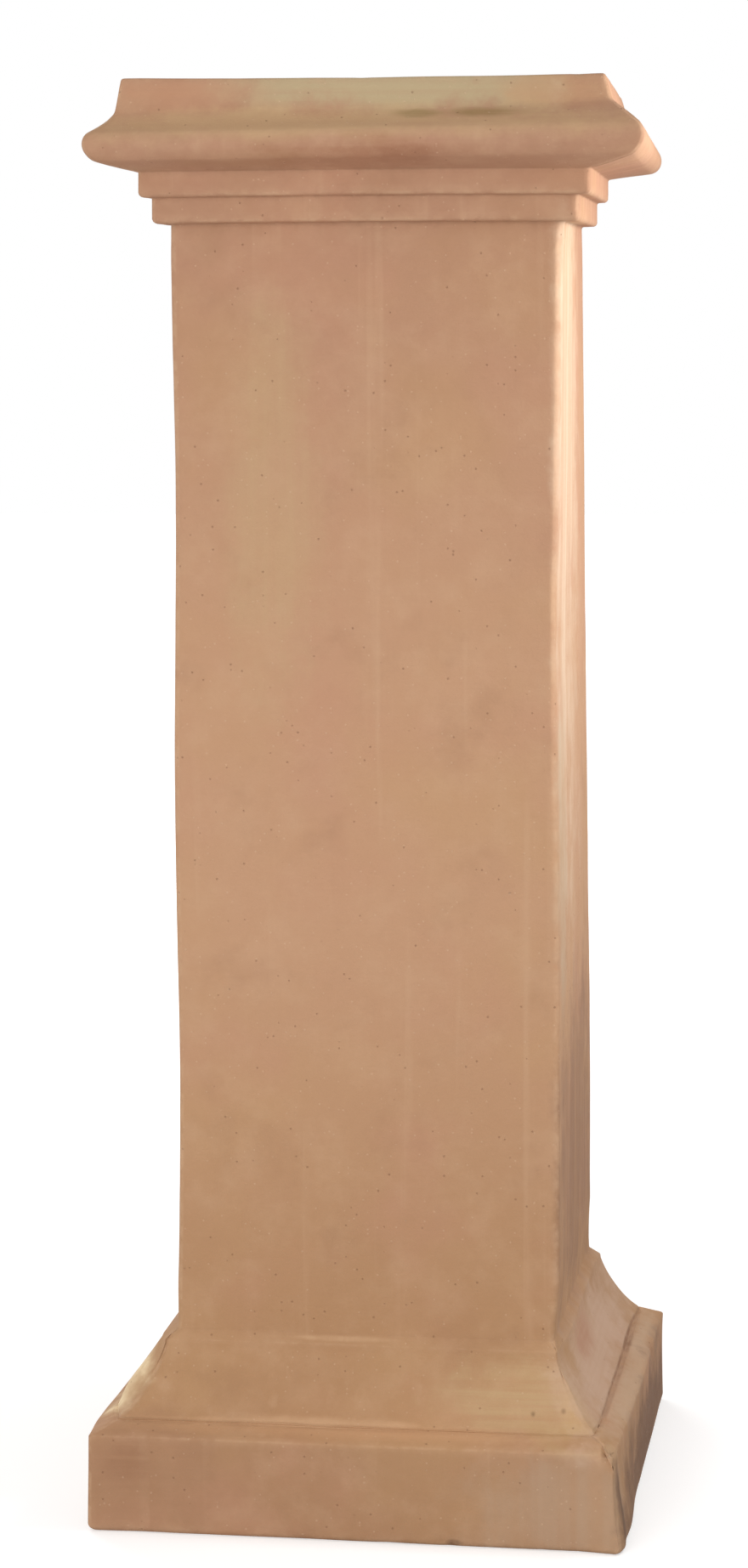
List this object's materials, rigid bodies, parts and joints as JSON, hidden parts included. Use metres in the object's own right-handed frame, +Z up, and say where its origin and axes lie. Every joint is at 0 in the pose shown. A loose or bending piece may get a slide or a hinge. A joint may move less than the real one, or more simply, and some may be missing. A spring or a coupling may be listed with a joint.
{
  "type": "square pedestal column",
  "caption": "Square terracotta pedestal column with a moulded cap, a plain shaft and a moulded base on a plinth, hollow and open underneath, for a garden urn or bust.",
  "frame": {"origin": "centre of the underside, on the ground", "axes": "+Z up along the column, -Y out of the front face, +X to the right seen from the front"},
  "size_m": [0.3884, 0.3884, 1],
  "materials": {
    "terracotta": "unglazed, matt"
  },
  "bodies": {
    "root": {"column": "terracotta"}
  },
  "joints": []
}
